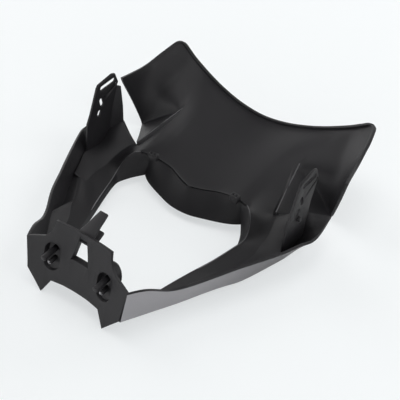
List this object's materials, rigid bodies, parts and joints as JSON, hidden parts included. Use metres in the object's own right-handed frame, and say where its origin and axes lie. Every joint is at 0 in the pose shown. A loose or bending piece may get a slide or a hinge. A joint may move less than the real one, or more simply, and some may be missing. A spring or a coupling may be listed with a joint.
{
  "type": "headlight cowl",
  "caption": "Thin moulded cowl for a trail bike headlamp, with an open lamp window, a dished number plate above, side walls with strap tabs and a chin with locating pins.",
  "frame": {"origin": "middle of the cowl's base, on the surface it lies on", "axes": "X runs across the bike and the cowl is the same on both sides of X = 0, +Y from the chin to the crown of the number plate, +Z from the front face up to the rider's side"},
  "size_m": [0.2706, 0.3084, 0.093],
  "materials": {
    "black_plastic": "fine textured matte black moulding"
  },
  "bodies": {
    "root": {"headlight_cowl": "black_plastic"}
  },
  "joints": []
}
